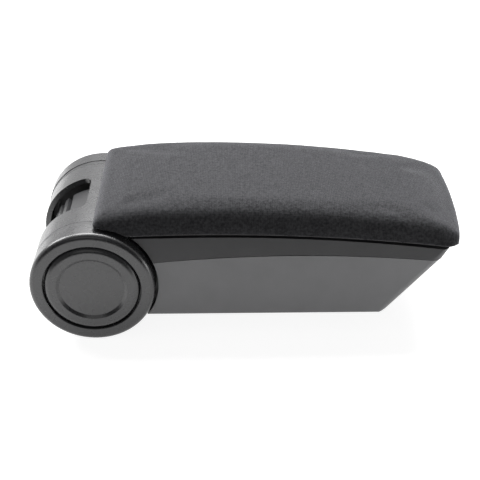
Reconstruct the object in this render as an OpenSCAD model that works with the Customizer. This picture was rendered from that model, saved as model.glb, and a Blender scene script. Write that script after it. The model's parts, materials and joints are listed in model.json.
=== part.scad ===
// Car centre armrest: a hinge barrel, an arm with a storage bin, and a padded lid.
// The origin is the middle of the barrel's axis. +X runs along the arm to its front,
// Y runs along the barrel's axis and +Z is up, with the arm folded down.

/* [Barrel] */
// Radius of the two end rings
ring_r = 48; // [46:0.5:52]
// Length of the barrel over its end rings
barrel_w = 134.4; // [130:0.2:150]
// Length of each end ring
ring_l = 16.4; // [12:0.2:20]
// Radius of the round edge on the end rings
ring_edge_r = 4; // [2:0.25:5]
// Width of the end rings' faces, from their bore to their outside
ring_face = 10.4; // [9:0.1:13]
// Wall of the end rings
ring_wall = 2.4; // [1.8:0.1:3]
// How far the drum stands back from the end rings
drum_step = 0.4; // [0.2:0.1:1]
// Wall of the drum shell
drum_wall = 4; // [3:0.25:5]
// Width of each hinge band of the lid
band_w = 4.5; // [3:0.25:5]
// Thickness of the end cheeks
cheek_t = 3.9; // [3:0.1:4.5]
// Width of the slot in the drum
slot_w = 46; // [36:1:54]
// Angle at which the slot begins, from the front over the top
slot_from = 97.5; // [95:0.5:105]
// Angle at which the slot ends, underneath
slot_to = 290; // [280:1:300]
// Corner radius of the slot
slot_corner_r = 7.5; // [3:0.5:10]

/* [Disc] */
// Radial gap between the disc and its ring
disc_gap = 0.7; // [0.4:0.1:1.2]
// How far the disc stands proud of its ring
disc_proud = 0.8; // [0:0.1:1.5]
// Radius of the round edge on the disc
disc_edge_r = 4.5; // [2:0.25:5]
// Width of the flat rim around the dish
dish_rim = 5.1; // [3:0.1:8]
// Depth of the dish
dish_depth = 1.6; // [1:0.1:2.2]
// Wall of the disc
disc_wall = 2.2; // [1.6:0.1:2.6]
// How far the disc can be pressed
press_travel = 3; // [2:0.25:3.25]

/* [Hub] */
// Gap from the ratchet's teeth to the drum
tooth_gap = 3.6; // [1:0.1:9]
// Depth of the ratchet teeth
tooth_depth = 5; // [3:0.25:7]
// Angle from tooth to tooth
tooth_pitch = 12.5; // [10:0.5:15]
// Width of the ratchet
ratchet_w = 36; // [32:1:40]
// Radius of the hub's journals
journal_r = 14; // [11:0.5:16]
// Radius of the pivot bolt
bolt_r = 5.1; // [4:0.1:6]
// Length of the bracket socket along the arm
socket_l = 16; // [12:1:20]
// Width of the bracket socket
socket_w = 24; // [18:1:30]
// Radius of the tapped hole for the bracket's clamp screw
clamp_hole_r = 3.4; // [2.5:0.1:4.2]

/* [Arm] */
// How far the pad overhangs the bin on each side
pad_overhang = 1.9; // [0.5:0.1:3]
// Depth from the barrel to the bin's rear wall
saddle_depth = 18; // [16:0.5:24]
// Angle by which each side runs in towards the front
side_taper = 0.9; // [0:0.1:1.5]
// Depth of the bin's flat bottom below the barrel's axis
bottom_drop = 30; // [24:0.2:32]
// Where the bottom would meet the sloped front
toe_x = 227.2; // [200:0.2:250]
// Slope of the bin's front
front_slope = 50; // [42:1:60]
// Radius from the bottom into the slope
toe_r = 20; // [12:1:26]
// Radius of the long bottom edges
bottom_edge_r = 3; // [1.5:0.25:4]
// Radius of the front's upright corners
front_corner_r = 9; // [6:1:14]
// Wall of the mouldings
wall = 2.6; // [2:0.1:3]
// Steepness of the upper frame's front
frame_slope = 61; // [56:1:75]
// How far the upper frame stands in at its top
frame_step = 1.6; // [0:0.1:2.5]
// Width of the ledge around the bin's mouth
ledge_w = 10.5; // [9:0.5:12]
// Thickness of the rubber mat
mat_t = 1.5; // [1:0.25:2.5]

/* [Lid] */
// How far the pad stands back from the barrel's ends
pad_setback = 5.7; // [4:0.1:8]
// Angle by which each side of the pad runs in towards the front
pad_taper = 0.76; // [0:0.02:1.2]
// Where the pad's front ends
pad_front_x = 284; // [275:0.5:290]
// Where the pad's rear ends
pad_rear_x = 2; // [0:0.5:6]
// Height of the pad's crown above the barrel's axis
crown_z = 65.8; // [62:0.2:70]
// Where along the arm the crown is highest
crown_x = 94; // [80:1:106]
// Radius of the pad's arch
arch_r = 980; // [800:10:1200]
// Where the arch gives way to a rounder one at the rear
rear_arch_to = 60; // [45:1:68]
// Radius of the arch at the rear
rear_arch_r = 340; // [260:10:500]
// Where the arch gives way to a rounder one at the front
front_arch_from = 238; // [230:1:246]
// Radius of the arch at the front
front_arch_r = 135; // [100:5:170]
// Radius of the pad's top edge along the sides
pad_edge_r = 12; // [8:0.5:14]
// Radius of the pad's nose
nose_r = 11; // [8:0.5:12]
// Radius of the pad's front seen from above
front_bow_r = 330; // [280:10:400]
// Corner radius of the pad seen from above
pad_corner_r = 12; // [10:1:18]
// Height of the pad's lower edge above the barrel's axis
hem_z = 44; // [42:0.2:46]
// Where along the arm the lower edge is highest
hem_x = 88; // [70:1:100]
// Radius of the lower edge's arch
hem_arch_r = 1376; // [1200:8:1600]
// Gap from the pad's lower edge to the upper frame
lid_gap = 3.9; // [3.4:0.1:5]
// Thickness of the fabric with its backing
cover_t = 2; // [1.5:0.25:2.5]
// Thickness of the lid's base plate
base_t = 3.8; // [3:0.1:4.5]

/* [Catch] */
// Width of the pawl
pawl_w = 28; // [20:1:32]
// Height of the pawl
pawl_h = 14; // [10:1:16]
// Radius of the push rod behind the disc
rod_r = 3; // [2:0.25:3.5]
// Distance of the push rod from the disc's edge
rod_inset = 6.9; // [6:0.1:9]
// Wire of the disc's spring
disc_wire = 1.4; // [1:0.1:1.8]
// Wire of the pawl's spring
pawl_wire = 1.2; // [0.8:0.1:1.4]

/* [Hidden] */
$fn = 96;
// Steps in a rounded corner of an outline
arc_n = 10;
// Overrun for cuts
over = 1;
// Reach of the blocks that trim a form, longer than the whole arm
reach = 400;
// Gap between faces that turn past each other
run_gap = 0.3;
// Gap between faces of pieces that are fixed together
seat_gap = 0.2;
// Radial clearance of the bearings
bearing_gap = 0.05;
// Gap of the visible joint between the bin and the upper frame
joint_gap = 0.25;

// Places across the barrel, counted from its middle
barrel_half = barrel_w / 2;
ring_from = barrel_half - ring_l;
band_to = ring_from - run_gap;
band_from = band_to - band_w;
shell_half = band_from - run_gap;
cheek_to = ring_from + cheek_t;
pad_w = barrel_w - 2 * pad_setback;
bin_w = pad_w - 2 * pad_overhang;
disc_face = barrel_half + disc_proud;
disc_back = disc_face - dish_depth - disc_wall;
lip_from = disc_face - disc_edge_r - disc_wall / 2 - dish_depth / 2 + run_gap;

// Radii of the barrel
drum_r = ring_r - drum_step;
drum_bore_r = drum_r - drum_wall;
band_bore_r = drum_bore_r + run_gap;
boss_r = band_bore_r - 2 * bearing_gap;
boss_wall = 4.3;
spigot_w = 4.4;
tooth_tip_r = drum_bore_r - tooth_gap;
ring_bore_r = ring_r - ring_face;
disc_r = ring_bore_r - disc_gap;
dish_r = disc_r - disc_edge_r - dish_rim;
disc_lip_r = ring_bore_r + ring_wall * 0.7;
disc_lip_t = 1.5;
bush_wall = 2.4;
bush_r = journal_r + bearing_gap + bush_wall;
washer_r = 19;
washer_t = 1.4;
head_r = 9;
head_t = 3.2;
nut_r = 9.4;
nut_t = 5.4;
journal_to = cheek_to + run_gap + seat_gap;

// Bracket socket and its clamp screw
socket_top = bolt_r + wall * 1.5;
clamp_z = 24;
clamp_face_r = 6;
clamp_face_x = 30;

// Arm
saddle_r = drum_r + run_gap;
side_gap = 2.5;
side_arc_r = ring_r + side_gap;
bin_half = bin_w / 2 + side_arc_r * tan(side_taper);
rear_wall_x = ring_r + saddle_depth;
joint_mid_x = 154;
joint_mid_z = 24.3;
joint_arch_r = 1035;
frame_lap = 2;
frame_rear_x = ring_r - frame_lap;
tongue_x = 0.6 * ring_r;
frame_toe_z = 20.5;
lean_from = frame_toe_z - wall;
mouth_inset = 8;
mouth_rear_x = rear_wall_x + mouth_inset;
mouth_front_x = 251;
mouth_corner_r = 10;
rib_t = 2.4;
rib_pitch_share = 0.183;
rib_places = [for (k = [-2, -1, 1, 2]) k * rib_pitch_share * bin_w];
post_r = 3.4;
post_inset = 10;
post_rear_x = mouth_rear_x + post_inset;
post_front_x = 222;
screw_r = 1.5;
screw_head_r = 3;
screw_head_t = 1.6;
screw_l = 12;
saddle_screw_share = 0.7;
saddle_screw_y = saddle_screw_share * shell_half;
saddle_screw_z = 14;
saddle_boss_r = 4;
bumper_r = 4;
bumper_t = 2.3;
magnet_l = 9;
magnet_w = 22;
magnet_x = mouth_front_x + wall;
plate_t = 1;
hem_drop = 1.2;
arch_centre = [crown_x, crown_z - arch_r];
rear_turn = asin((rear_arch_to - crown_x) / arch_r);
front_turn = asin((front_arch_from - crown_x) / arch_r);
rear_centre = arch_centre + (arch_r - rear_arch_r) * [sin(rear_turn), cos(rear_turn)];
front_centre = arch_centre + (arch_r - front_arch_r) * [sin(front_turn), cos(front_turn)];
end_turn = 4;
arch_lap = 1;
arch_step = 0.04;
base_arch_shift = 16;
base_arch_drop = 1.6;
base_arch_r = 0.8 * arch_r;
nose_tuck = 50;
front_bow_x = pad_front_x - front_bow_r;
mat_margin = 2.5;

// Pawl and push rod
rod_x = disc_r - rod_inset;
pawl_travel = press_travel;
nose_from = tooth_tip_r + run_gap;
nose_share = 0.14;
pawl_room = 8;
pawl_to = rear_wall_x - pawl_room;
tail_from = drum_bore_r + 2 * seat_gap;
tail_t = 4;
tail_h = 10;
wedge_sum = -6;
wedge_gap = 0.4;
finger_in = 3.5;
finger_back = 27;
guide_from = tail_from + tail_t + pawl_travel + run_gap;
guide_wall = 2.8;
guide_end_t = 2;
spring_pocket_r = 5;
spring_pocket_l = 6;
peg_r = 2.4;
peg_l = 4;
coil_sides = 8;
coil_steps = 20;
disc_coil_r = 21;
disc_coil_turns = 3;
pawl_coil_r = 3.9;
pawl_coil_turns = 6;

// Points of an arc about c from angle a0 to a1
function arc(c, r, a0, a1, n = arc_n) =
  [for (i = [0:n]) c + r * [cos(a0 + (a1 - a0) * i / n), sin(a0 + (a1 - a0) * i / n)]];

// A profile of radius and place along Y, turned about the barrel's axis
module revolve_y(points) {
  rotate([-90, 0, 0])
    rotate_extrude()
      polygon(points);
}

// A cylinder on the barrel's axis from y0 to y1
module rod_y(r, y0, y1) {
  translate([0, y0, 0])
    rotate([-90, 0, 0])
      cylinder(r = r, h = y1 - y0);
}

// A side view of X and Z, extruded across the arm from y0 to y1
module across(y0, y1) {
  translate([0, y1, 0])
    rotate([90, 0, 0])
      linear_extrude(height = y1 - y0)
        children();
}

// The space below an arch whose top is at x0, z0
module below_arch(x0, z0, r) {
  translate([x0, 0, z0 - r])
    rotate([90, 0, 0])
      cylinder(r = r, h = reach, center = true, $fn = 720);
}

// The space below the joint of bin and frame, and below the lid's lower edge
module below_joint(rise = 0) {
  below_arch(joint_mid_x, joint_mid_z + rise, joint_arch_r + rise);
}

module below_hem(rise = 0) {
  below_arch(hem_x, hem_z + rise, hem_arch_r + rise);
}

// Puts a part made for the +Y end on the near end
module near_end() {
  mirror([0, 1, 0])
    children();
}

// Helical spring of round wire along +Z, with its end faces closed
module coil(coil_r, wire, turns, length) {
  pitch = (length - wire) / turns;
  rings = turns * coil_steps;
  points = [for (i = [0:rings]) for (j = [0:coil_sides - 1])
    let (a = 360 * i / coil_steps, b = 360 * j / coil_sides, r = coil_r + wire / 2 * cos(b))
    [r * cos(a), r * sin(a), wire / 2 + pitch * i / coil_steps + wire / 2 * sin(b)]];
  walls = [for (i = [0:rings - 1]) for (j = [0:coil_sides - 1])
    let (k = (j + 1) % coil_sides)
    [i * coil_sides + j, i * coil_sides + k, (i + 1) * coil_sides + k, (i + 1) * coil_sides + j]];
  first = [for (j = [coil_sides - 1:-1:0]) j];
  last = [for (j = [0:coil_sides - 1]) rings * coil_sides + j];
  polyhedron(points = points, faces = concat(walls, [first], [last]));
}

// Hub

// Outline of the ratchet: steep towards the front of each gap and sloped behind it,
// with a plain land between the two runs of teeth and under the hub
function tooth(k) = let (tip = tooth_tip_r, root = tooth_tip_r - tooth_depth, a = k * tooth_pitch) [
  tip * [cos(a - tooth_pitch * 0.22), sin(a - tooth_pitch * 0.22)],
  root * [cos(a - tooth_pitch * 0.16), sin(a - tooth_pitch * 0.16)],
  root * [cos(a + tooth_pitch * 0.16), sin(a + tooth_pitch * 0.16)],
  tip * [cos(a + tooth_pitch * 0.36), sin(a + tooth_pitch * 0.36)]];

function teeth(first, last) = [for (k = [first:last]) each tooth(k)];

module ratchet_outline() {
  last_front = floor(90 / tooth_pitch);
  first_rear = ceil(118 / tooth_pitch);
  last_rear = floor(225 / tooth_pitch);
  polygon(concat(
    teeth(0, last_front),
    arc([0, 0], tooth_tip_r, (last_front + 0.7) * tooth_pitch, (first_rear - 0.4) * tooth_pitch, 6),
    teeth(first_rear, last_rear),
    arc([0, 0], tooth_tip_r, (last_rear + 0.7) * tooth_pitch, 360 - tooth_pitch * 0.5, 30)));
}

module hub_core() {
  color("#3a3b3d")
    difference() {
      union() {
        across(-ratchet_w / 2, ratchet_w / 2)
          ratchet_outline();
        rod_y(journal_r, -journal_to, journal_to);
      }
      rod_y(bolt_r + bearing_gap, -barrel_half, barrel_half);
      translate([-socket_l / 2, -socket_w / 2, -ring_r])
        cube([socket_l, socket_w, ring_r - socket_top]);
      translate([0, 0, -clamp_z])
        rotate([0, -90, 0])
          cylinder(r = clamp_hole_r, h = ring_r);
      translate([-clamp_face_x, 0, -clamp_z])
        rotate([0, -90, 0])
          cylinder(r = clamp_face_r, h = ring_r);
    }
}

module pivot_bolt() {
  color("#8f9194")
    union() {
      rod_y(bolt_r, -journal_to - washer_t, journal_to + washer_t + nut_t);
      near_end()
        difference() {
          rod_y(head_r, journal_to + washer_t, journal_to + washer_t + head_t);
          translate([0, journal_to + washer_t + head_t / 2, 0])
            rotate([-90, 0, 0])
              cylinder(r = head_r / 2, h = head_t, $fn = 6);
        }
    }
}

module pivot_nut() {
  color("#8f9194")
    difference() {
      translate([0, journal_to + washer_t, 0])
        rotate([-90, 0, 0])
          cylinder(r = nut_r, h = nut_t, $fn = 6);
      rod_y(bolt_r + bearing_gap, journal_to, barrel_half);
    }
}

module pivot_washer() {
  difference() {
    rod_y(washer_r, journal_to, journal_to + washer_t);
    rod_y(bolt_r + bearing_gap, journal_to - over, journal_to + washer_t + over);
  }
}

module pivot_washers() {
  color("#a5a7aa") {
    pivot_washer();
    near_end()
      pivot_washer();
  }
}

// Barrel pieces that turn with the arm

// Slot cut towards the axis, less the blocks that leave its four corners round
module drum_slot() {
  deep = drum_bore_r - over;
  high = drum_wall + 2 * over;
  mid = slot_w / 2 - slot_corner_r + seat_gap / 2;
  near = slot_corner_r - seat_gap / 2;
  far = slot_w / 2 + over;
  difference() {
    rotate([90, 0, 0])
      rotate([0, 0, slot_from])
        rotate_extrude(angle = slot_to - slot_from)
          translate([deep, -slot_w / 2])
            square([high, slot_w]);
    for (end = [0, 1])
      for (side = [0, 1])
        rotate([0, end == 0 ? -slot_from : -slot_to, 0])
          mirror([0, side, 0])
            mirror([0, 0, end])
              translate([deep - over, 0, 0])
                rotate([90, 0, 90])
                  linear_extrude(height = high + 2 * over)
                    polygon(concat(arc([mid, near], slot_corner_r, 0, -90),
                      [[mid, -over], [far, -over], [far, near]]));
  }
}

// Window through which the pawl and its tail reach the ratchet, out to x1
module pawl_window(x1) {
  from_y = -(rod_x - wedge_sum + finger_in + wall);
  translate([drum_bore_r / 2, from_y, -pawl_h / 2 - wall / 2])
    cube([x1 - drum_bore_r / 2, pawl_w / 2 + wall / 2 - from_y, pawl_h + wall]);
}

module drum_shell() {
  color("#2b2c2e")
    difference() {
      rod_y(drum_r, -shell_half, shell_half);
      rod_y(drum_bore_r, -shell_half - over, shell_half + over);
      drum_slot();
      pawl_window(ring_r);
      for (y = [-saddle_screw_y, saddle_screw_y])
        for (z = [-saddle_screw_z, saddle_screw_z])
          translate([drum_bore_r / 2, y, z])
            rotate([0, 90, 0])
              cylinder(r = screw_r + bearing_gap, h = drum_r, $fn = 32);
    }
}

// End plate with the boss that the lid's hinge band turns on
module cheek() {
  revolve_y([
    [bush_r + bearing_gap, ring_from], [boss_r - boss_wall, ring_from],
    [boss_r - boss_wall, shell_half - spigot_w], [drum_bore_r - run_gap, shell_half - spigot_w],
    [drum_bore_r - run_gap, shell_half + seat_gap], [boss_r, shell_half + seat_gap],
    [boss_r, ring_from], [ring_r - ring_wall - seat_gap, ring_from],
    [ring_r - ring_wall - seat_gap, cheek_to], [bush_r + bearing_gap, cheek_to]]);
}

module cheek_near() {
  color("#242527")
    near_end()
      difference() {
        cheek();
        translate([rod_x, ring_from - over, 0])
          rotate([-90, 0, 0])
            cylinder(r = rod_r + run_gap, h = cheek_t + 2 * over, $fn = 48);
      }
}

module cheek_far() {
  color("#242527")
    cheek();
}

module bush() {
  revolve_y([[journal_r + bearing_gap, ring_from], [bush_r, ring_from],
    [bush_r, cheek_to], [journal_r + bearing_gap, cheek_to]]);
}

module bush_near() {
  color("#d8d6cc")
    near_end()
      bush();
}

module bush_far() {
  color("#d8d6cc")
    bush();
}

module end_ring() {
  inner_r = ring_r - ring_wall;
  back = barrel_half - ring_wall;
  chamfer = ring_wall / 5;
  revolve_y(concat(
    [[inner_r, ring_from], [ring_r, ring_from]],
    arc([ring_r - ring_edge_r, barrel_half - ring_edge_r], ring_edge_r, 0, 90),
    [[ring_bore_r + chamfer, barrel_half], [ring_bore_r, barrel_half - chamfer], [ring_bore_r, lip_from],
     [ring_bore_r + ring_wall, lip_from], [ring_bore_r + ring_wall, back],
     [inner_r - ring_edge_r / 2, back], [inner_r, back - ring_edge_r / 2]]));
}

module ring_near() {
  color("#333436")
    near_end()
      end_ring();
}

module ring_far() {
  color("#333436")
    end_ring();
}

// Dished disc with a round edge, a skirt and a lip that stays behind the ring
module disc() {
  lip_to = lip_from - run_gap;
  revolve_y(concat(
    [[0, disc_back], [0, disc_face - dish_depth], [dish_r - 1.5 * dish_depth, disc_face - dish_depth],
     [dish_r, disc_face]],
    arc([disc_r - disc_edge_r, disc_face - disc_edge_r], disc_edge_r, 90, 0),
    [[disc_r, lip_to], [disc_lip_r, lip_to], [disc_lip_r, lip_to - disc_lip_t],
     [disc_r - disc_wall, lip_to - disc_lip_t], [disc_r - disc_wall, disc_back]]));
}

module cap_far() {
  color("#3c3d3f")
    disc();
}

// The near disc carries the push rod, whose end is cut to a wedge
module release_button() {
  color("#3c3d3f") {
    near_end()
      disc();
    difference() {
      translate([rod_x, -disc_back - seat_gap, 0])
        rotate([-90, 0, 0])
          cylinder(r = rod_r, h = disc_back + seat_gap + wedge_sum - rod_x + rod_r, $fn = 48);
      translate([rod_x, wedge_sum - rod_x, 0])
        rotate([0, 0, -45])
          translate([-ring_r / 2, 0, -ring_r / 2])
            cube([ring_r, ring_r, ring_r]);
    }
  }
}

module button_spring() {
  color("#b9bbbe")
    translate([0, -disc_back + seat_gap / 2, 0])
      rotate([-90, 0, 0])
        coil(disc_coil_r, disc_wire, disc_coil_turns, disc_back - cheek_to - seat_gap);
}

// Arm

// Half space inside the +Y side face, which runs in towards the front and, above lean_from,
// leans in by lean up to the crown's height
module side_half(inset, lean, edge_r) {
  r = max(edge_r - inset, edge_r / 20);
  low = -bottom_drop + inset;
  top = crown_z;
  translate([0, bin_half, 0])
    rotate([0, 0, -side_taper])
      translate([-ring_r, 0, 0])
        rotate([90, 0, 90])
          linear_extrude(height = reach)
            polygon(concat([[-2 * bin_w, low]], arc([-inset - r, low + r], r, -90, 0),
              [[-inset, lean_from], [-inset - lean, top], [-2 * bin_w, top]]));
}

module both_sides(inset, lean, edge_r) {
  intersection() {
    side_half(inset, lean, edge_r);
    mirror([0, 1, 0])
      side_half(inset, lean, edge_r);
  }
}

// Prism along a front that slopes at slope, through x at height z, with round corners
module front_prism(x, z, slope, inset) {
  half = bin_half - x * tan(side_taper) - inset;
  r = front_corner_r - inset;
  flare = tan(3 * side_taper);
  long = reach / 2;
  translate([x, 0, z])
    rotate([0, 90 - slope, 0])
      translate([0, 0, -reach / 2])
        linear_extrude(height = reach)
          polygon(concat(arc([-inset - r, half - r], r, 90, 0), arc([-inset - r, r - half], r, 0, -90),
            [[-long, -half - long * flare], [-long, half + long * flare]]));
}

// Side view of the bin, with the round toe between the bottom and the sloped front
module bin_side_view(inset) {
  low = -bottom_drop + inset;
  centre = [toe_x - toe_r * tan(front_slope / 2), toe_r - bottom_drop];
  far = 2 * toe_r;
  end = centre + (toe_r - inset) * [sin(front_slope), -cos(front_slope)];
  polygon(concat([[0, low]], arc(centre, toe_r - inset, -90, front_slope - 90),
    [end + far * [cos(front_slope), sin(front_slope)] * 2, [0, ring_r * 2]]));
}

module bin_form(inset) {
  intersection() {
    across(-bin_w, bin_w)
      bin_side_view(inset);
    both_sides(inset, 0, bottom_edge_r);
    front_prism(toe_x, -bottom_drop, front_slope, inset);
  }
}

// Clearance around the drum, wider beside the end rings
module drum_clearance() {
  rod_y(saddle_r, -ring_from, ring_from);
  rod_y(side_arc_r, ring_from - seat_gap, bin_w);
  rod_y(side_arc_r, -bin_w, seat_gap - ring_from);
}

// Height of the lid's lower edge at x
function hem_height(x) = hem_z - hem_arch_r + sqrt(hem_arch_r * hem_arch_r - (x - hem_x) * (x - hem_x));

// Puts a part at each of the four screws of the upper frame, at the top of the frame
module at_posts() {
  for (x = [post_rear_x, post_front_x])
    for (side = [-1, 1])
      translate([x, side * (bin_half - x * tan(side_taper) - ledge_w * 0.8), hem_height(x) - lid_gap])
        children();
}

module post_holes() {
  at_posts()
    translate([0, 0, -screw_l - over])
      cylinder(r = screw_r + bearing_gap, h = screw_l + 2 * over, $fn = 32);
}

module saddle_bosses(r, x0, x1) {
  for (y = [-saddle_screw_y, saddle_screw_y])
    for (z = [-saddle_screw_z, saddle_screw_z])
      translate([x0, y, z])
        rotate([0, 90, 0])
          cylinder(r = r, h = x1 - x0, $fn = 48);
}

module storage_bin() {
  color("#4b4c50")
    difference() {
      union() {
        difference() {
          intersection() {
            bin_form(0);
            below_joint(-joint_gap);
          }
          bin_form(wall);
        }
        intersection() {
          bin_form(wall / 2);
          below_joint(-joint_gap);
          union() {
            translate([rear_wall_x, -bin_w / 2, -bottom_drop])
              cube([wall, bin_w, ring_r * 2]);
            for (y = rib_places)
              translate([0, y - rib_t / 2, -bottom_drop])
                cube([rear_wall_x + wall / 2, rib_t, ring_r * 2]);
            saddle_bosses(saddle_boss_r, drum_bore_r, rear_wall_x + wall / 2);
          }
        }
        intersection() {
          bin_form(wall / 2);
          below_hem(-lid_gap - wall - seat_gap);
          at_posts()
            translate([0, 0, -2 * ring_r])
              cylinder(r = post_r, h = 2 * ring_r, $fn = 48);
        }
      }
      drum_clearance();
      pawl_window(guide_from + run_gap);
      saddle_bosses(screw_r + bearing_gap, drum_bore_r, rear_wall_x + 2 * wall);
      post_holes();
    }
}

// Plate with round corners from x0 to x1
module round_plate(x0, x1, half, r, z0, z1) {
  translate([0, 0, z0])
    linear_extrude(height = z1 - z0)
      polygon(concat(arc([x1 - r, half - r], r, 90, 0), arc([x1 - r, r - half], r, 0, -90),
        arc([x0 + r, r - half], r, -90, -180), arc([x0 + r, half - r], r, 180, 90)));
}

mouth_half = bin_half - mouth_front_x * tan(side_taper) - ledge_w + frame_step / 2;

module bin_mat() {
  floor_z = wall - bottom_drop;
  color("#1c1c1d")
    round_plate(rear_wall_x + wall + mat_margin, toe_x - toe_r * tan(front_slope / 2) - mat_margin,
      mouth_half - mat_margin, mouth_corner_r / 2, floor_z, floor_z + mat_t);
}

module frame_form(inset) {
  intersection() {
    both_sides(inset, frame_step * (crown_z - lean_from) / (hem_z - lid_gap - lean_from), bottom_edge_r);
    front_prism(toe_x + (frame_toe_z + bottom_drop) / tan(front_slope), frame_toe_z, frame_slope, inset);
    children();
  }
}

// Space in front of the plane at x, and the space beside the barrel's bands in front of tongue_x
module frame_room(x) {
  translate([x, -bin_w, 0])
    cube([reach, 2 * bin_w, 2 * ring_r]);
}

module tongue_room() {
  for (side = [0, 1])
    mirror([0, side, 0])
      translate([tongue_x, ring_from + 2 * seat_gap, 0])
        cube([reach, bin_w, 2 * ring_r]);
}

module upper_frame() {
  color("#37383b")
    difference() {
      intersection() {
        frame_form(0)
          union() {
            frame_room(frame_rear_x);
            tongue_room();
          }
        below_hem(-lid_gap);
      }
      below_joint(0);
      intersection() {
        frame_form(wall)
          frame_room(frame_rear_x + wall);
        below_hem(-lid_gap - wall);
      }
      round_plate(mouth_rear_x, mouth_front_x, mouth_half, mouth_corner_r, 0, 2 * ring_r);
      drum_clearance();
      post_holes();
    }
}

// Pan head screws that stand on the frame's ledge
module frame_screws() {
  color("#8f9194")
    at_posts()
      translate([0, 0, seat_gap + run_gap]) {
        translate([0, 0, -screw_l])
          cylinder(r = screw_r, h = screw_l + seat_gap, $fn = 32);
        cylinder(r = screw_head_r, h = screw_head_t, $fn = 48);
      }
}

module saddle_screws() {
  color("#8f9194") {
    saddle_bosses(screw_r, drum_r - drum_wall / 2, rear_wall_x + wall + seat_gap);
    saddle_bosses(screw_head_r, rear_wall_x + wall + seat_gap / 2, rear_wall_x + wall + screw_head_t);
  }
}

// Stops that the lid rests on, seated along the frame's arch
module lid_bumpers() {
  color("#151515")
    difference() {
      intersection() {
        for (x = [frame_rear_x + 2 * wall + bumper_r, mouth_front_x + bumper_r])
          for (side = [-1, 1])
            translate([x, side * (bin_half - x * tan(side_taper) - ledge_w), 0])
              cylinder(r = bumper_r, h = 2 * ring_r, $fn = 48);
        below_hem(bumper_t + seat_gap / 2 - lid_gap);
      }
      below_hem(seat_gap / 2 - lid_gap);
    }
}

// Block between two arches, with a gap all round it where it is a pocket
module catch_block(low, high, gap = 0) {
  difference() {
    intersection() {
      translate([magnet_x - gap, -magnet_w / 2 - gap, 0])
        cube([magnet_l + 2 * gap, magnet_w + 2 * gap, 2 * ring_r]);
      below_hem(high);
    }
    below_hem(low);
  }
}

module catch_magnet() {
  color("#5a5c60")
    catch_block(seat_gap / 2 - lid_gap, seat_gap / 2 - lid_gap + bumper_t);
}

module catch_plate() {
  color("#a5a7aa")
    catch_block(-hem_drop, plate_t - hem_drop);
}

module pawl_guide() {
  half_w = pawl_w / 2 + seat_gap;
  half_h = pawl_h / 2 + seat_gap;
  color("#54565a")
    union() {
      difference() {
        translate([guide_from, -half_w - guide_wall, -half_h - guide_wall])
          cube([rear_wall_x - guide_from, 2 * (half_w + guide_wall), 2 * (half_h + guide_wall)]);
        translate([guide_from - over, -half_w, -half_h])
          cube([rear_wall_x - guide_from - guide_end_t + over, 2 * half_w, 2 * half_h]);
      }
      translate([rear_wall_x - guide_end_t - peg_l, 0, 0])
        rotate([0, 90, 0])
          cylinder(r = peg_r, h = peg_l + guide_end_t / 2, $fn = 32);
    }
}

// Pawl: a nose towards the ratchet, and a tail whose finger meets the wedge of the push rod
module pawl() {
  tip = pawl_h * nose_share / 2;
  neck = nose_from + tooth_depth;
  slant = wedge_sum + wedge_gap * sqrt(2);
  top_x = tail_from + tail_t;
  color("#9a9ca0")
    difference() {
      union() {
        across(-pawl_w / 2, pawl_w / 2)
          polygon([[nose_from, -tip], [nose_from, tip], [neck, 4 * tip], [neck + wall / 2, pawl_h / 2],
            [pawl_to, pawl_h / 2], [pawl_to, -pawl_h / 2], [neck + wall / 2, -pawl_h / 2], [neck, -1.5 * tip]]);
        translate([0, 0, -tail_h / 2])
          linear_extrude(height = tail_h)
            polygon([[rod_x - finger_in, slant - rod_x + finger_in], [rod_x + finger_in, slant - rod_x - finger_in],
              [top_x, slant - rod_x - finger_in], [top_x, -pawl_w / 2 + over], [tail_from, -pawl_w / 2 + over],
              [tail_from, -finger_back], [rod_x - finger_in, -finger_back]]);
      }
      translate([pawl_to - spring_pocket_l, 0, 0])
        rotate([0, 90, 0])
          cylinder(r = spring_pocket_r, h = 2 * spring_pocket_l, $fn = 48);
    }
}

module pawl_spring() {
  color("#b9bbbe")
    translate([pawl_to - spring_pocket_l + seat_gap / 2, 0, 0])
      rotate([0, 90, 0])
        coil(pawl_coil_r, pawl_wire, pawl_coil_turns,
          rear_wall_x - guide_end_t - pawl_to + spring_pocket_l - seat_gap);
}

// Lid

// Part of the pad's +Y half under one arch of its crown, from angle a0 to a1 ahead of its top,
// with the top edge rounded along the arch
module pad_sector(centre, arch, a0, a1, inset, depth, width) {
  rt = arch - inset;
  r = pad_edge_r - inset;
  translate([centre[0], 0, centre[1]])
    rotate([90, 0, 0])
      rotate([0, 0, 90 - a1])
        rotate_extrude(angle = a1 - a0, $fn = 720)
          polygon(concat([[rt - depth, width], [rt - depth, inset]], arc([rt - r, inset + r], r, -90, 0),
            [[rt, width]]));
}

// Half space inside the +Y side of the pad, under the three arches of its crown. The arches
// at the ends lap into the middle one and lie a hair inside it
module pad_half(inset) {
  rear_a = -asin((rear_centre[0] + ring_r) / (rear_arch_r - crown_z));
  low = inset + arch_step;
  translate([0, pad_w / 2, 0])
    rotate([0, 0, -pad_taper])
      union() {
        pad_sector(arch_centre, arch_r, rear_turn, front_turn, inset, 1.2 * crown_z, 2 * pad_w);
        pad_sector(rear_centre, rear_arch_r, rear_a, rear_turn + arch_lap, low, crown_z, 1.8 * pad_w);
        pad_sector(front_centre, front_arch_r, front_turn - arch_lap, 60, low, crown_z, 1.8 * pad_w);
      }
}

// Centre of a rounding of radius r at x that runs into an arch from inside
function inner_centre(centre, arch, r, x) =
  [x, centre[1] + sqrt((arch - r) * (arch - r) - (x - centre[0]) * (x - centre[0]))];

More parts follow.
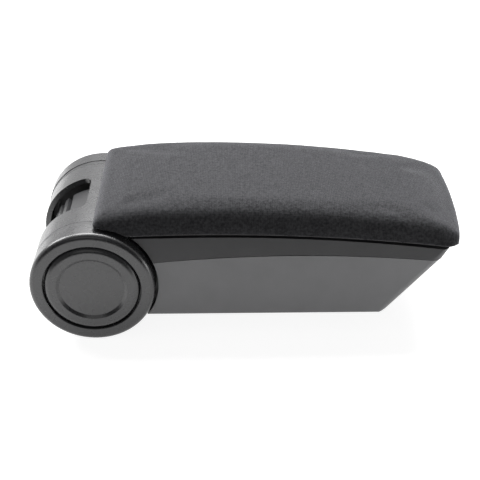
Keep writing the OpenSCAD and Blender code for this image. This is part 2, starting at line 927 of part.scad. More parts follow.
// Side view of the pad from its rear end on
module pad_rear_view(inset) {
  r = pad_edge_r - inset;
  rear = inner_centre(rear_centre, rear_arch_r, pad_edge_r, pad_rear_x + pad_edge_r);
  turn = atan2(rear[1] - rear_centre[1], rear[0] - rear_centre[0]) + end_turn;
  end = rear + r * [cos(turn), sin(turn)];
  polygon(concat([[pad_rear_x + inset, -inset], [reach, -inset], [reach, 2 * crown_z],
    end + ring_r * [sin(turn), -cos(turn)]], arc(rear, r, turn, 180)));
}

// The pad's nose, turned about the centre of the front's curve seen from above
module pad_nose(inset) {
  r = nose_r - inset;
  nose = inner_centre(front_centre, front_arch_r, nose_r, pad_front_x - nose_r) - [front_bow_x, 0];
  turn = atan2(nose[1] - front_centre[1], nose[0] + front_bow_x - front_centre[0]) - end_turn;
  end = nose + r * [cos(turn), sin(turn)];
  top = end + pad_w * [-sin(turn), cos(turn)];
  translate([front_bow_x, 0, 0])
    rotate_extrude($fn = 720)
      polygon(concat([[0, -inset], [nose[0] + r * cos(nose_tuck), -inset]], arc(nose, r, -nose_tuck, turn),
        [top, [0, top[1]]]));
}

// The pad seen from above, with round front corners
module pad_plan(inset) {
  r = pad_corner_r - inset;
  half = pad_w / 2 - (pad_front_x - 2 * pad_corner_r) * tan(pad_taper);
  from_bow = sqrt(pow(front_bow_r - pad_corner_r, 2) - pow(half - pad_corner_r, 2));
  turn = atan2(half - pad_corner_r, from_bow) + end_turn;
  corner = [front_bow_x + from_bow, half - pad_corner_r];
  end = corner + r * [cos(turn), sin(turn)];
  flare = pad_w / 2;
  polygon(concat(arc(corner, r, 90, turn), [[end[0] + end[1] * tan(turn), 0]],
    arc([corner[0], -corner[1]], r, -turn, -90), [[-flare, -2 * flare], [-flare, 2 * flare]]));
}

// Trims a half given as the child, and its mirror image, to the pad's outline
module pad_trim(inset) {
  intersection() {
    children();
    mirror([0, 1, 0])
      children();
    across(-pad_w, pad_w)
      pad_rear_view(inset);
    pad_nose(inset);
    linear_extrude(height = 2 * ring_r)
      pad_plan(inset);
  }
}

module pad_form(inset) {
  pad_trim(inset)
    pad_half(inset);
}

// The base's outline: the pad's, under one lower arch that clears the foam everywhere
module base_form(inset) {
  turn = asin((pad_front_x + ring_r) / (base_arch_r - 1.2 * crown_z));
  pad_trim(inset)
    translate([0, pad_w / 2, 0])
      rotate([0, 0, -pad_taper])
        pad_sector([crown_x + base_arch_shift, crown_z - base_arch_drop - base_arch_r], base_arch_r,
          -turn, turn, inset, 1.2 * crown_z, 2 * pad_w);
}

hollow_r = side_arc_r + wall / 6;

module pad_cover() {
  color("#5c5d61")
    difference() {
      pad_form(0);
      pad_form(cover_t);
      below_hem(0);
      rod_y(hollow_r, -pad_w, pad_w);
    }
}

module pad_foam() {
  color("#c9c2a6")
    difference() {
      pad_form(cover_t + run_gap);
      below_hem(base_t - hem_drop + run_gap);
      rod_y(hollow_r + base_t - hem_drop + run_gap, -pad_w, pad_w);
    }
}

// Base plate, arched over the arm and over the barrel, with its two hinge bands
module lid_base() {
  color("#1f2022")
    union() {
      difference() {
        intersection() {
          base_form(cover_t + run_gap);
          union() {
            below_hem(base_t - hem_drop);
            rod_y(hollow_r + base_t - hem_drop, -pad_w, pad_w);
          }
        }
        below_hem(-hem_drop);
        rod_y(hollow_r - hem_drop, -pad_w, pad_w);
        catch_block(-lid_gap, plate_t - hem_drop + seat_gap / 2, seat_gap);
      }
      for (end = [0, 1])
        mirror([0, end, 0]) {
          revolve_y([[band_bore_r, band_from], [drum_r, band_from], [drum_r, band_to], [band_bore_r, band_to]]);
          rotate([90, 0, 0])
            rotate([0, 0, 55])
              rotate_extrude(angle = 25)
                translate([band_bore_r + seat_gap, -band_to])
                  square([hollow_r - band_bore_r, band_w]);
        }
    }
}

hub_core();
pivot_bolt();
pivot_nut();
pivot_washers();
drum_shell();
cheek_near();
cheek_far();
bush_near();
bush_far();
ring_near();
ring_far();
cap_far();
storage_bin();
bin_mat();
upper_frame();
frame_screws();
saddle_screws();
pawl_guide();
lid_bumpers();
catch_magnet();
catch_plate();
lid_base();
pad_foam();
pad_cover();
release_button();
button_spring();
pawl();
pawl_spring();
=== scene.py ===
import json
import math

import bmesh
import bpy
from bpy.props import FloatProperty, FloatVectorProperty, IntProperty, PointerProperty
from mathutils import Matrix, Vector
from mathutils.kdtree import KDTree


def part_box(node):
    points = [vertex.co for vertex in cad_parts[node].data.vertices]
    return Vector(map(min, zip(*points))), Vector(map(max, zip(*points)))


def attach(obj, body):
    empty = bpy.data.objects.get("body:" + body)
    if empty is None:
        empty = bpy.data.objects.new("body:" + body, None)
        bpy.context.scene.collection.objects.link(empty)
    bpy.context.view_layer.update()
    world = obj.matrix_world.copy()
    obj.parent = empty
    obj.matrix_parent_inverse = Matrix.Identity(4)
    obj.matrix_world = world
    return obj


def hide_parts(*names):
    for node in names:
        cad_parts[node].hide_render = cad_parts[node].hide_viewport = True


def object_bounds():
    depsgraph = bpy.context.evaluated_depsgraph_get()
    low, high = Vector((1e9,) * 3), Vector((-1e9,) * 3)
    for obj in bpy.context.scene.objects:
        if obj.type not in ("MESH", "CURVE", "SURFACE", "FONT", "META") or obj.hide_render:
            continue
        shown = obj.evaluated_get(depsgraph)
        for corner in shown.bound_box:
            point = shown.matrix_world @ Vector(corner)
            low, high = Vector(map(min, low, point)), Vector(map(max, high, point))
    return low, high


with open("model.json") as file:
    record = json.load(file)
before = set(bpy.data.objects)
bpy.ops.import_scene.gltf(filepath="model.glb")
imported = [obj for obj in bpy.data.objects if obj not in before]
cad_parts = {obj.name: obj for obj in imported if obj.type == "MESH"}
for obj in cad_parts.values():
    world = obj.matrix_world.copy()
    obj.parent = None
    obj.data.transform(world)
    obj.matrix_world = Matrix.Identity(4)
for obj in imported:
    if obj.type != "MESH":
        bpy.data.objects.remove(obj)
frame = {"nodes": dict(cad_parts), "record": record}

bl_info = {
    "name": "Car Centre Armrest",
    "version": (1, 0, 0),
    "blender": (4, 5, 0),
    "location": "3D View > Sidebar > Armrest",
    "description": "Upholstery, finishes and studio for a folding car centre armrest",
    "category": "Object",
}

MM = 0.001
CAD_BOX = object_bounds()
NODES = frame["nodes"]
BODIES = frame["record"]["behaviour"]["bodies"]
BODY_OF = {node: body for body, nodes in BODIES.items() for node in nodes}

# Colours of the parts that hardly show
CHEEK_COLOUR = (0.020, 0.020, 0.021)
BUSH_COLOUR = (0.62, 0.60, 0.54)
BASE_COLOUR = (0.030, 0.030, 0.032)
MAT_COLOUR = (0.018, 0.018, 0.019)
BUMPER_COLOUR = (0.015, 0.015, 0.015)
FOAM_COLOUR = (0.55, 0.50, 0.36)
BOLT_COLOUR = (0.60, 0.61, 0.62)
SPRING_COLOUR = (0.50, 0.51, 0.53)
PAWL_COLOUR = (0.34, 0.34, 0.35)
MAGNET_COLOUR = (0.09, 0.09, 0.095)

# Depths of the grain in the mouldings
POLISHED = 0.004 * MM
SATIN = 0.006 * MM
EVEN = 0.01 * MM
GRAINED = 0.02 * MM

# Specular levels of the two grained mouldings that show
BIN_SHINE = 0.8
FRAME_SHINE = 0.6

# Mouldings: sizes of the clouds in their colour and of the patches in their gloss
TINT_CLOUD, GLOSS_PATCH = 28 * MM, 9 * MM
# Steel, rubber and foam: sizes of their stains, patches, turning marks, ribs, dust and cells
STEEL_STAIN, STEEL_PATCH, STEEL_MARK = 5 * MM, 2 * MM, 0.4 * MM
RIB_PITCH, RIB_DEPTH, RUBBER_DUST, RUBBER_GRAIN = 3 * MM, 0.4 * MM, 6 * MM, 0.5 * MM
FOAM_CELL, FOAM_DEPTH = 1.2 * MM, 0.5 * MM

# Blender's wave texture has a period of 2 pi / 20 at scale 1
WAVE_PERIOD = 2 * math.pi / 20

# Knit: sizes of the light and dark flecks, and how much each pattern adds to the colour; the loops
# add painted shade, darker between the loops
FLECK, CLOUD = 2.1 * MM, 9 * MM
FLECK_SHARE, CLOUD_SHARE, LOOP_SHADE_SHARE = 0.88, 0.12, 0.07
COURSE_TO_WALE = 0.8
DARKEST, LIGHTEST = 0.36, 0.66
LOOP_DEPTH, NAP_DEPTH = 0.12 * MM, 0.2 * MM

# Pad: where the front corners begin to stand forward, as shares of its length and height
CORNER_START = 0.75
CORNER_RISE, CORNER_FOOT = 2.5, 0.2
# Pad: how far down a face looks, from the underside that is held to the one that is cut away
HELD_BELOW, CUT_BELOW, FLAT_BELOW = -0.35, -0.55, -0.9
EASE_VOXELS = 4
SOFT_FACTOR, SOFT_ROUNDS = 0.5, 8

# Frame ends: their block, as shares of the ring's radius, before it is trimmed
END_TAIL, END_NOSE, END_BOTTOM = 0.6, 1.2, 0.45

# Studio: lamps as name, place, target, width, depth and the setting with their power
LAMPS = (
    ("key_above", (0.10, 0.60, 1.00), (0.12, 0.0, 0.0), 1.3, 0.8, "key"),
    ("edge_left", (-0.75, 0.45, 0.60), (-0.03, 0.0, 0.03), 0.5, 0.5, "edge"),
    ("card_front", (0.80, -0.22, -0.03), (0.24, -0.05, 0.0), 0.35, 0.2, "card"),
    ("fill_front", (-0.2, -1.2, 0.7), (0.12, 0.0, 0.0), 0.9, 0.6, "fill"),
)
SENSOR = 36
FLOOR_SIZE = 6
FLOOR_DROP = 0.05 * MM
FLOOR_COLOUR = (0.42, 0.42, 0.42)
FLOOR_GLOW = 0.87
WHITE = (1, 1, 1, 1)
# Studio: where the dark front of the room starts and ends, and the level from left to right
FRONT_FROM, FRONT_TO = -0.45, 0.10
LEFT_FROM, LEFT_TO = -0.6, 0.8
LEFT_LEVEL, RIGHT_LEVEL = 1.25, 0.5


class ArmrestPad(bpy.types.PropertyGroup):
    """Sizes and colours of the upholstered lid"""
    voxel: FloatProperty(
        name="Voxel", description="Size of the cloth's mesh", default=3 * MM, min=3 * MM,
        max=6 * MM, unit="LENGTH")
    inset: FloatProperty(
        name="Inset", description="How much smaller the pad starts before it swells",
        default=0.6 * MM, min=0, max=4 * MM, unit="LENGTH")
    pressure: FloatProperty(
        name="Pressure", description="Air pressure in the cloth", default=9, min=0, max=30)
    frames: IntProperty(
        name="Frames", description="Frames of simulation", default=20, min=5, max=60)
    cap: FloatProperty(
        name="Swell", description="Furthest that a point of the cloth may move", default=1.7 * MM,
        min=0, max=8 * MM, unit="LENGTH")
    corners: FloatProperty(
        name="Corners", description="How far the front corners stand forward of the plain form",
        default=4.5 * MM, min=0, max=6 * MM, unit="LENGTH")
    thickness: FloatProperty(
        name="Thickness", description="Thickness of the fabric with its backing", default=1.6 * MM,
        min=0.8 * MM, max=2 * MM, unit="LENGTH")
    # The dark yarn colour serves both the heathered flecks and the painted shade between the loops.
    yarn_dark: FloatVectorProperty(
        name="Dark yarn", description="Colour between the loops of the knit", subtype="COLOR",
        size=3, default=(0.018, 0.018, 0.0195), min=0, max=1)
    yarn_light: FloatVectorProperty(
        name="Light yarn", description="Colour of the loops of the knit", subtype="COLOR", size=3,
        default=(0.050, 0.050, 0.053), min=0, max=1)
    wale: FloatProperty(
        name="Wale", description="Distance from one column of loops to the next",
        default=1.3 * MM, min=0.6 * MM, max=3 * MM, unit="LENGTH")


class ArmrestPlastic(bpy.types.PropertyGroup):
    """Colours and finishes of the mouldings"""
    bin_colour: FloatVectorProperty(
        name="Bin", description="Colour of the storage bin", subtype="COLOR", size=3,
        default=(0.195, 0.195, 0.201), min=0, max=1)
    # The frame's colour is partly a darker plastic and partly painted shade: it is set darker to
    # stand in for the shade that the pad's overhang casts on the frame.
    frame_colour_and_shade: FloatVectorProperty(
        name="Frame", description="Colour of the upper frame", subtype="COLOR", size=3,
        default=(0.037, 0.037, 0.039), min=0, max=1)
    ring_colour: FloatVectorProperty(
        name="Rings", description="Colour of the end rings", subtype="COLOR", size=3,
        default=(0.027, 0.027, 0.029), min=0, max=1)
    disc_colour: FloatVectorProperty(
        name="Disc", description="Colour of the push disc", subtype="COLOR", size=3,
        default=(0.031, 0.031, 0.033), min=0, max=1)
    drum_colour: FloatVectorProperty(
        name="Drum", description="Colour of the drum", subtype="COLOR", size=3,
        default=(0.031, 0.031, 0.033), min=0, max=1)
    hub_colour: FloatVectorProperty(
        name="Hub", description="Colour of the ratchet hub", subtype="COLOR", size=3,
        default=(0.027, 0.027, 0.029), min=0, max=1)
    grain: FloatProperty(
        name="Grain", description="Size of the moulded grain", default=0.7 * MM, min=0.2 * MM,
        max=2 * MM, unit="LENGTH")
    gloss_roughness: FloatProperty(
        name="Satin", description="Roughness of the satin mouldings", default=0.27, min=0.05,
        max=1, subtype="FACTOR")
    grain_roughness: FloatProperty(
        name="Grained", description="Roughness of the grained mouldings", default=0.42, min=0.05,
        max=1, subtype="FACTOR")
    frame_gap: FloatProperty(
        name="Frame gap", description="Gap beside the drum at the frame's rear ends",
        default=0.4 * MM, min=0.2 * MM, max=2 * MM, unit="LENGTH")
    ring_clearance: FloatProperty(
        name="Ring clearance", description="Gap between the end rings and the frame",
        default=2.5 * MM, min=0.5 * MM, max=4 * MM, unit="LENGTH")
    shine: FloatProperty(
        name="Shine", description="Specular level of the satin mouldings", default=0.85, min=0,
        max=1, subtype="FACTOR")


class ArmrestStudio(bpy.types.PropertyGroup):
    """Camera, lamps and floor"""
    elevation: FloatProperty(
        name="Elevation", description="How far the camera looks down",
        default=math.radians(32.09), subtype="ANGLE")
    camera: FloatVectorProperty(
        name="Camera", description="Place of the camera", subtype="TRANSLATION", size=3,
        default=(0.112992, -0.789214, 0.496974))
    lens: FloatProperty(
        name="Lens", description="Focal length in millimetres", default=86.23, min=20, max=300)
    key: FloatProperty(
        name="Key", description="Power of the large lamp above and behind", default=28, min=0,
        unit="POWER")
    edge: FloatProperty(
        name="Edge", description="Power of the small lamp behind the barrel", default=8, min=0,
        unit="POWER")
    card: FloatProperty(
        name="Card", description="Power of the low lamp in front of the bin", default=1.2, min=0,
        unit="POWER")
    fill: FloatProperty(
        name="Fill", description="Power of the lamp in front", default=1.0, min=0, unit="POWER")
    surroundings: FloatProperty(
        name="Surroundings", description="Level of the light from all round", default=0.24,
        min=0, max=1)
    dark: FloatProperty(
        name="Dark side", description="Level of the room behind the camera in reflections",
        default=0.03, min=0, max=1)
    floor_edge: FloatProperty(
        name="Floor edge", description="How far the floor reaches in front of the armrest",
        default=0.27, min=0.1, unit="LENGTH")


def pad_settings():
    return bpy.context.scene.armrest_pad


def plastic_settings():
    return bpy.context.scene.armrest_plastic


def studio_settings():
    return bpy.context.scene.armrest_studio


# Selection and editing

def deselect():
    if bpy.context.object and bpy.context.object.mode != "OBJECT":
        bpy.ops.object.mode_set(mode="OBJECT")
    bpy.ops.object.select_all(action="DESELECT")


def activate(piece):
    deselect()
    piece.select_set(True)
    bpy.context.view_layer.objects.active = piece


def select_faces(piece, wanted):
    """Selects the faces for which wanted(face) holds, and goes to edit mode."""
    activate(piece)
    bpy.ops.object.mode_set(mode="EDIT")
    bpy.ops.mesh.select_mode(type="FACE")
    bpy.ops.mesh.select_all(action="DESELECT")
    edit = bmesh.from_edit_mesh(piece.data)
    for face in edit.faces:
        face.select_set(wanted(face))
    bmesh.update_edit_mesh(piece.data)


def apply_modifiers(piece):
    activate(piece)
    for modifier in list(piece.modifiers):
        bpy.ops.object.modifier_apply(modifier=modifier.name)


def node_copy(node, name):
    """A merged copy of a CAD node's mesh in a new object of its own."""
    mesh = NODES[node].data.copy()
    mesh.name = name
    piece = bpy.data.objects.new(name, mesh)
    bpy.context.scene.collection.objects.link(piece)
    activate(piece)
    bpy.ops.object.mode_set(mode="EDIT")
    bpy.ops.mesh.select_all(action="SELECT")
    bpy.ops.mesh.remove_doubles(threshold=0.01 * MM)
    bpy.ops.object.mode_set(mode="OBJECT")
    return piece


def stands_for(piece, node, material):
    """Puts a finished piece in a CAD node's place."""
    piece.data.materials.clear()
    piece.data.materials.append(material)
    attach(piece, BODY_OF[node])
    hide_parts(node)


def finish_nodes(nodes, material):
    """Gives CAD nodes their material."""
    for node in nodes:
        mesh = NODES[node].data
        mesh.materials.clear()
        mesh.materials.append(material)


# Materials

def new_material(name, colour, roughness):
    """A material, its node tree, its shader and its Object coordinates."""
    material = bpy.data.materials.new(name)
    material.use_nodes = True
    tree = material.node_tree
    shader = tree.nodes["Principled BSDF"]
    shader.inputs["Base Color"].default_value = (*colour, 1)
    shader.inputs["Roughness"].default_value = roughness
    place = tree.nodes.new("ShaderNodeTexCoord")
    return material, tree, shader, place.outputs["Object"]


def noise(tree, place, size, detail=2.0, rough=0.5):
    """Noise whose features are about size wide."""
    texture = tree.nodes.new("ShaderNodeTexNoise")
    texture.inputs["Scale"].default_value = 1 / size
    texture.inputs["Detail"].default_value = detail
    texture.inputs["Roughness"].default_value = rough
    tree.links.new(place, texture.inputs["Vector"])
    return texture.outputs["Fac"]


def spread(tree, value, low, high, start=0.3, end=0.7):
    """Maps start to end of a value onto low to high."""
    mapping = tree.nodes.new("ShaderNodeMapRange")
    for name, number in (("From Min", start), ("From Max", end), ("To Min", low), ("To Max", high)):
        mapping.inputs[name].default_value = number
    tree.links.new(value, mapping.inputs["Value"])
    return mapping.outputs["Result"]


def two_colours(tree, value, dark, light):
    """A mix of two colours by a value from 0 to 1."""
    mix = tree.nodes.new("ShaderNodeMix")
    mix.data_type = "RGBA"
    mix.inputs["A"].default_value = (*dark, 1)
    mix.inputs["B"].default_value = (*light, 1)
    tree.links.new(value, mix.inputs["Factor"])
    return mix.outputs["Result"]


def add_bump(tree, shader, height, depth, strength=1.0, after=None):
    """Bumps of a real depth in metres, on top of the bumps of after."""
    bump = tree.nodes.new("ShaderNodeBump")
    bump.inputs["Distance"].default_value = depth
    bump.inputs["Strength"].default_value = strength
    tree.links.new(height, bump.inputs["Height"])
    if after:
        tree.links.new(after, bump.inputs["Normal"])
    tree.links.new(bump.outputs["Normal"], shader.inputs["Normal"])
    return bump.outputs["Normal"]


def shade_of(colour, factor):
    return tuple(min(1, c * factor) for c in colour)


def moulded_plastic(name, colour, roughness, grain, depth, shine=0.5):
    """Moulded plastic with its grain, a slight cloudiness and uneven gloss."""
    material, tree, shader, place = new_material(name, colour, roughness)
    shader.inputs["Specular IOR Level"].default_value = shine
    cloud = spread(tree, noise(tree, place, TINT_CLOUD, 3), 0, 1)
    tint = two_colours(tree, cloud, shade_of(colour, 0.94), shade_of(colour, 1.06))
    tree.links.new(tint, shader.inputs["Base Color"])
    patches = noise(tree, place, GLOSS_PATCH, 3)
    gloss = spread(tree, patches, roughness * 0.94, roughness * 1.08)
    tree.links.new(gloss, shader.inputs["Roughness"])
    cells = tree.nodes.new("ShaderNodeTexVoronoi")
    cells.feature = "SMOOTH_F1"
    cells.inputs["Scale"].default_value = 1 / grain
    tree.links.new(place, cells.inputs["Vector"])
    first = add_bump(tree, shader, cells.outputs["Distance"], depth)
    add_bump(tree, shader, noise(tree, place, grain * 3, 3), depth, 0.6, first)
    return material


def plated_steel(name, colour, roughness):
    """Zinc plated steel with fine turning marks."""
    material, tree, shader, place = new_material(name, colour, roughness)
    shader.inputs["Metallic"].default_value = 1
    stain = spread(tree, noise(tree, place, STEEL_STAIN, 4), 0, 1)
    tint = two_colours(tree, stain, shade_of(colour, 0.85), colour)
    tree.links.new(tint, shader.inputs["Base Color"])
    patches = noise(tree, place, STEEL_PATCH, 3)
    gloss = spread(tree, patches, roughness * 0.8, roughness * 1.3)
    tree.links.new(gloss, shader.inputs["Roughness"])
    add_bump(tree, shader, noise(tree, place, STEEL_MARK, 2), EVEN)
    return material


def ribbed_rubber(name, colour):
    """Matt rubber with fine ribs across the bin."""
    material, tree, shader, place = new_material(name, colour, 0.8)
    ribs = tree.nodes.new("ShaderNodeTexWave")
    ribs.wave_profile = "SIN"
    ribs.inputs["Scale"].default_value = WAVE_PERIOD / RIB_PITCH
    tree.links.new(place, ribs.inputs["Vector"])
    dust = spread(tree, noise(tree, place, RUBBER_DUST, 4), 0, 1)
    tint = two_colours(tree, dust, colour, shade_of(colour, 1.5))
    tree.links.new(tint, shader.inputs["Base Color"])
    first = add_bump(tree, shader, ribs.outputs["Fac"], RIB_DEPTH)
    add_bump(tree, shader, noise(tree, place, RUBBER_GRAIN, 2), 0.03 * MM, 1, first)
    return material


def open_foam(name, colour):
    """Cut open cell foam, with painted shade in its pores."""
    material, tree, shader, place = new_material(name, colour, 0.95)
    cells = tree.nodes.new("ShaderNodeTexVoronoi")
    cells.inputs["Scale"].default_value = 1 / FOAM_CELL
    tree.links.new(place, cells.inputs["Vector"])
    # Painted shade: the foam is darker in the middle of each cell, where the bump makes a pore.
    tint = two_colours(tree, cells.outputs["Distance"], shade_of(colour, 0.55), colour)
    tree.links.new(tint, shader.inputs["Base Color"])
    add_bump(tree, shader, cells.outputs["Distance"], FOAM_DEPTH)
    return material


def waves(tree, vector, axis, pitch):
    """Slightly uneven bands across an axis with the given pitch."""
    texture = tree.nodes.new("ShaderNodeTexWave")
    texture.bands_direction = axis
    texture.wave_profile = "SIN"
    texture.inputs["Scale"].default_value = WAVE_PERIOD / pitch
    texture.inputs["Distortion"].default_value = 0.6
    texture.inputs["Detail"].default_value = 1
    texture.inputs["Detail Scale"].default_value = 0.5
    tree.links.new(vector, texture.inputs["Vector"])
    return texture.outputs["Fac"]


def arithmetic(tree, operation, first, second):
    """One step of arithmetic on two sockets or numbers."""
    node = tree.nodes.new("ShaderNodeMath")
    node.operation = operation
    for socket, value in zip(node.inputs, (first, second)):
        if isinstance(value, (int, float)):
            socket.default_value = value
        else:
            tree.links.new(value, socket)
    return node.outputs["Value"]


def heathered_knit(name):
    """Fine knit in two greys: columns of loops, heathered yarn and a soft nap."""
    settings = pad_settings()
    dark, light = tuple(settings.yarn_dark), tuple(settings.yarn_light)
    material, tree, shader, place = new_material(name, light, 0.92)
    cloth = tree.nodes.new("ShaderNodeTexCoord").outputs["UV"]
    wales = waves(tree, cloth, "X", settings.wale)
    courses = waves(tree, cloth, "Y", settings.wale * COURSE_TO_WALE)
    loops = arithmetic(tree, "MULTIPLY", wales, courses)
    flecks = arithmetic(tree, "MULTIPLY", noise(tree, place, FLECK, 2, 0.6), FLECK_SHARE)
    clouds = arithmetic(tree, "MULTIPLY", noise(tree, place, CLOUD, 2, 0.5), CLOUD_SHARE)
    heather = arithmetic(tree, "ADD", flecks, clouds)
    # The loops add painted shade: the colour is darker between the loops, where their bump is low.
    heather_and_loop_shade = arithmetic(tree, "ADD", arithmetic(tree, "MULTIPLY", loops, LOOP_SHADE_SHARE), heather)
    tint = two_colours(tree, spread(tree, heather_and_loop_shade, 0, 1, DARKEST, LIGHTEST), dark, light)
    tree.links.new(tint, shader.inputs["Base Color"])
    shader.inputs["Sheen Weight"].default_value = 0.35
    shader.inputs["Sheen Roughness"].default_value = 0.45
    shader.inputs["Sheen Tint"].default_value = (0.8, 0.8, 0.85, 1)
    shader.inputs["Specular IOR Level"].default_value = 0.15
    first = add_bump(tree, shader, loops, LOOP_DEPTH)
    add_bump(tree, shader, noise(tree, place, 0.7 * MM, 3, 0.6), NAP_DEPTH, 1, first)
    return material


# Upholstery

def pad_blank():
    """The outer form of the CAD cover as one closed skin."""
    piece = node_copy("pad_cover", "pad_upholstery")
    low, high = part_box("pad_cover")
    middle = (low + high) / 2
    middle.z = low.z

    def inside(face):
        out = face.normal.dot(face.calc_center_median() - middle)
        return out < 0 or face.normal.z < FLAT_BELOW

    select_faces(piece, inside)
    bpy.ops.mesh.delete(type="FACE")
    bpy.ops.mesh.select_mode(type="EDGE")
    bpy.ops.mesh.select_non_manifold()
    bpy.ops.mesh.fill()
    bpy.ops.mesh.select_all(action="SELECT")
    bpy.ops.mesh.normals_make_consistent(inside=False)
    bpy.ops.object.mode_set(mode="OBJECT")
    return piece


def hem_points(step=0.5 * MM, down_from=-0.6, side_to=0.5):
    """Points along the outer lower edge of the CAD cover."""
    copy = node_copy("pad_cover", "hem_guide")
    edit = bmesh.new()
    edit.from_mesh(copy.data)
    low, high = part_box("pad_cover")
    middle = (low + high) / 2
    points = []
    for edge in edit.edges:
        if len(edge.link_faces) != 2:
            continue
        down = [f for f in edge.link_faces if f.normal.z < down_from]
        side = [f for f in edge.link_faces if abs(f.normal.z) < side_to
                and f.normal.dot(f.calc_center_median() - middle) > 0]
        if len(down) == 1 and len(side) == 1:
            a, b = (v.co.copy() for v in edge.verts)
            count = max(1, math.ceil((b - a).length / step))
            points += [a.lerp(b, i / count) for i in range(count + 1)]
    edit.free()
    bpy.data.objects.remove(copy)
    return points


def nearest_to(points):
    tree = KDTree(len(points))
    for i, point in enumerate(points):
        tree.insert(point, i)
    tree.balance()
    return tree


def remesh(piece, voxel):
    activate(piece)
    piece.data.remesh_voxel_size = voxel
    piece.data.remesh_voxel_adaptivity = 0
    bpy.ops.object.voxel_remesh()


def swell(piece, held, settings):
    """Blows the pad up as cloth with the held points pinned. The foam keeps every point from
    moving inwards, and the cap limits how far any point moves."""
    start = [(v.co.copy(), v.normal.copy()) for v in piece.data.vertices]
    group = piece.vertex_groups.new(name="held")
    group.add(held, 1.0, "REPLACE")
    cloth = piece.modifiers.new("Cloth", "CLOTH")
    cloth.settings.use_pressure = True
    cloth.settings.uniform_pressure_force = settings.pressure
    cloth.settings.effector_weights.gravity = 0
    cloth.settings.vertex_group_mass = group.name
    cloth.point_cache.frame_end = settings.frames
    scene = bpy.context.scene
    for number in range(1, settings.frames + 1):
        scene.frame_set(number)
    apply_modifiers(piece)
    scene.frame_set(1)
    for vertex, (before, out) in zip(piece.data.vertices, start):
        move = vertex.co - before
        move -= out * min(0, move.dot(out))
        if move.length > settings.cap:
            move = move.normalized() * settings.cap
        vertex.co = before + move


def push_corners(piece, settings):
    """Moves the pad's front corners forward, most at its sides and not at its lower edge."""
    low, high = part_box("pad_cover")
    for vertex in piece.data.vertices:
        ahead = min(1, max(0, vertex.co.x / high.x - CORNER_START) / (1 - CORNER_START))
        height = CORNER_RISE * (vertex.co.z - low.z) / (high.z - low.z)
        above = min(1, max(0, height - CORNER_FOOT))
        vertex.co.x += settings.corners * ahead * above * (vertex.co.y / high.y) ** 2


def draw_in(piece, settings):
    """Makes the pad smaller by the inset, less and less near its underside. Returns the
    underside's points, which stay in place."""
    vertices = piece.data.vertices
    below = nearest_to([v.co for v in vertices if v.normal.z < HELD_BELOW])
    held = []
    for vertex in vertices:
        far = below.find(vertex.co)[2]
        ease = min(1, max(0, far / (EASE_VOXELS * settings.voxel)))
        if ease == 0:
            held.append(vertex.index)
        vertex.co -= vertex.normal * settings.inset * ease
    return held


def lay_on_hem(piece, hem):
    """Moves the open edge onto the nearest points of the CAD cover's lower edge."""
    edit = bmesh.new()
    edit.from_mesh(piece.data)
    for vertex in edit.verts:
        if vertex.is_boundary:
            vertex.co = hem.find(vertex.co)[0]
    edit.to_mesh(piece.data)
    edit.free()


def upholster():
    """The fabric cover: a swollen skin, open below, that ends on the CAD cover's lower edge."""
    settings = pad_settings()
    piece = pad_blank()
    hem = nearest_to(hem_points())
    remesh(piece, settings.voxel)
    push_corners(piece, settings)
    held = draw_in(piece, settings)
    swell(piece, held, settings)
    soft = piece.modifiers.new("Soft", "SMOOTH")
    soft.factor = SOFT_FACTOR
    soft.iterations = SOFT_ROUNDS
    apply_modifiers(piece)
    select_faces(piece, lambda face: face.normal.z < CUT_BELOW)
    bpy.ops.mesh.delete(type="FACE")
    bpy.ops.object.mode_set(mode="OBJECT")
    lay_on_hem(piece, hem)
    wall = piece.modifiers.new("Wall", "SOLIDIFY")
    wall.thickness = settings.thickness
    wall.offset = -1
    smooth = piece.modifiers.new("Smooth", "SUBSURF")
    smooth.levels = smooth.render_levels = 1
    apply_modifiers(piece)
    bpy.ops.object.shade_smooth()
    bpy.ops.object.mode_set(mode="EDIT")
    bpy.ops.mesh.select_all(action="SELECT")
    bpy.ops.uv.cube_project(cube_size=1.0)
    bpy.ops.object.mode_set(mode="OBJECT")
    return piece


class ARMREST_OT_upholstery(bpy.types.Operator):
    """Makes the pad's fabric cover and finishes the foam"""
    bl_idname = "armrest.upholstery"
    bl_label = "Upholstery"

    def execute(self, context):
        cover = upholster()
        stands_for(cover, "pad_cover", heathered_knit("heathered_knit"))
        finish_nodes(["pad_foam"], open_foam("pad_foam", FOAM_COLOUR))
        return {"FINISHED"}


class ARMREST_OT_barrel(bpy.types.Operator):
    """Finishes the rings, the discs, the drum and what shows inside it"""
    bl_idname = "armrest.barrel"
    bl_label = "Barrel"

    def execute(self, context):
        settings = plastic_settings()
        satin, grain, shine = settings.gloss_roughness, settings.grain, settings.shine
        ring = moulded_plastic(
            "ring_plastic", tuple(settings.ring_colour), satin, grain, POLISHED, shine)
        disc = moulded_plastic(
            "disc_plastic", tuple(settings.disc_colour), satin, grain, POLISHED, shine)
        drum = moulded_plastic(
            "drum_plastic", tuple(settings.drum_colour), satin, grain, SATIN, shine)
        hub = moulded_plastic(
            "hub_plastic", tuple(settings.hub_colour), satin * 1.3, grain, GRAINED)
        cheek = moulded_plastic("cheek_plastic", CHEEK_COLOUR, 0.45, grain, EVEN)
        bush = moulded_plastic("bush_plastic", BUSH_COLOUR, 0.35, grain, POLISHED)
        finish_nodes(["ring_near", "ring_far"], ring)
        finish_nodes(["release_button", "cap_far"], disc)
        finish_nodes(["drum_shell"], drum)
        finish_nodes(["hub_core", "pawl_guide"], hub)
        finish_nodes(["cheek_near", "cheek_far"], cheek)
        finish_nodes(["bush_near", "bush_far"], bush)
        return {"FINISHED"}


def trim(piece, planes):
    """Cuts away what lies in front of each plane of a closed piece, and closes the cuts."""
    activate(piece)
    bpy.ops.object.mode_set(mode="EDIT")
    for place, normal in planes:
        bpy.ops.mesh.select_all(action="SELECT")
        bpy.ops.mesh.bisect(plane_co=place, plane_no=normal, use_fill=True, clear_outer=True)
    bpy.ops.object.mode_set(mode="OBJECT")


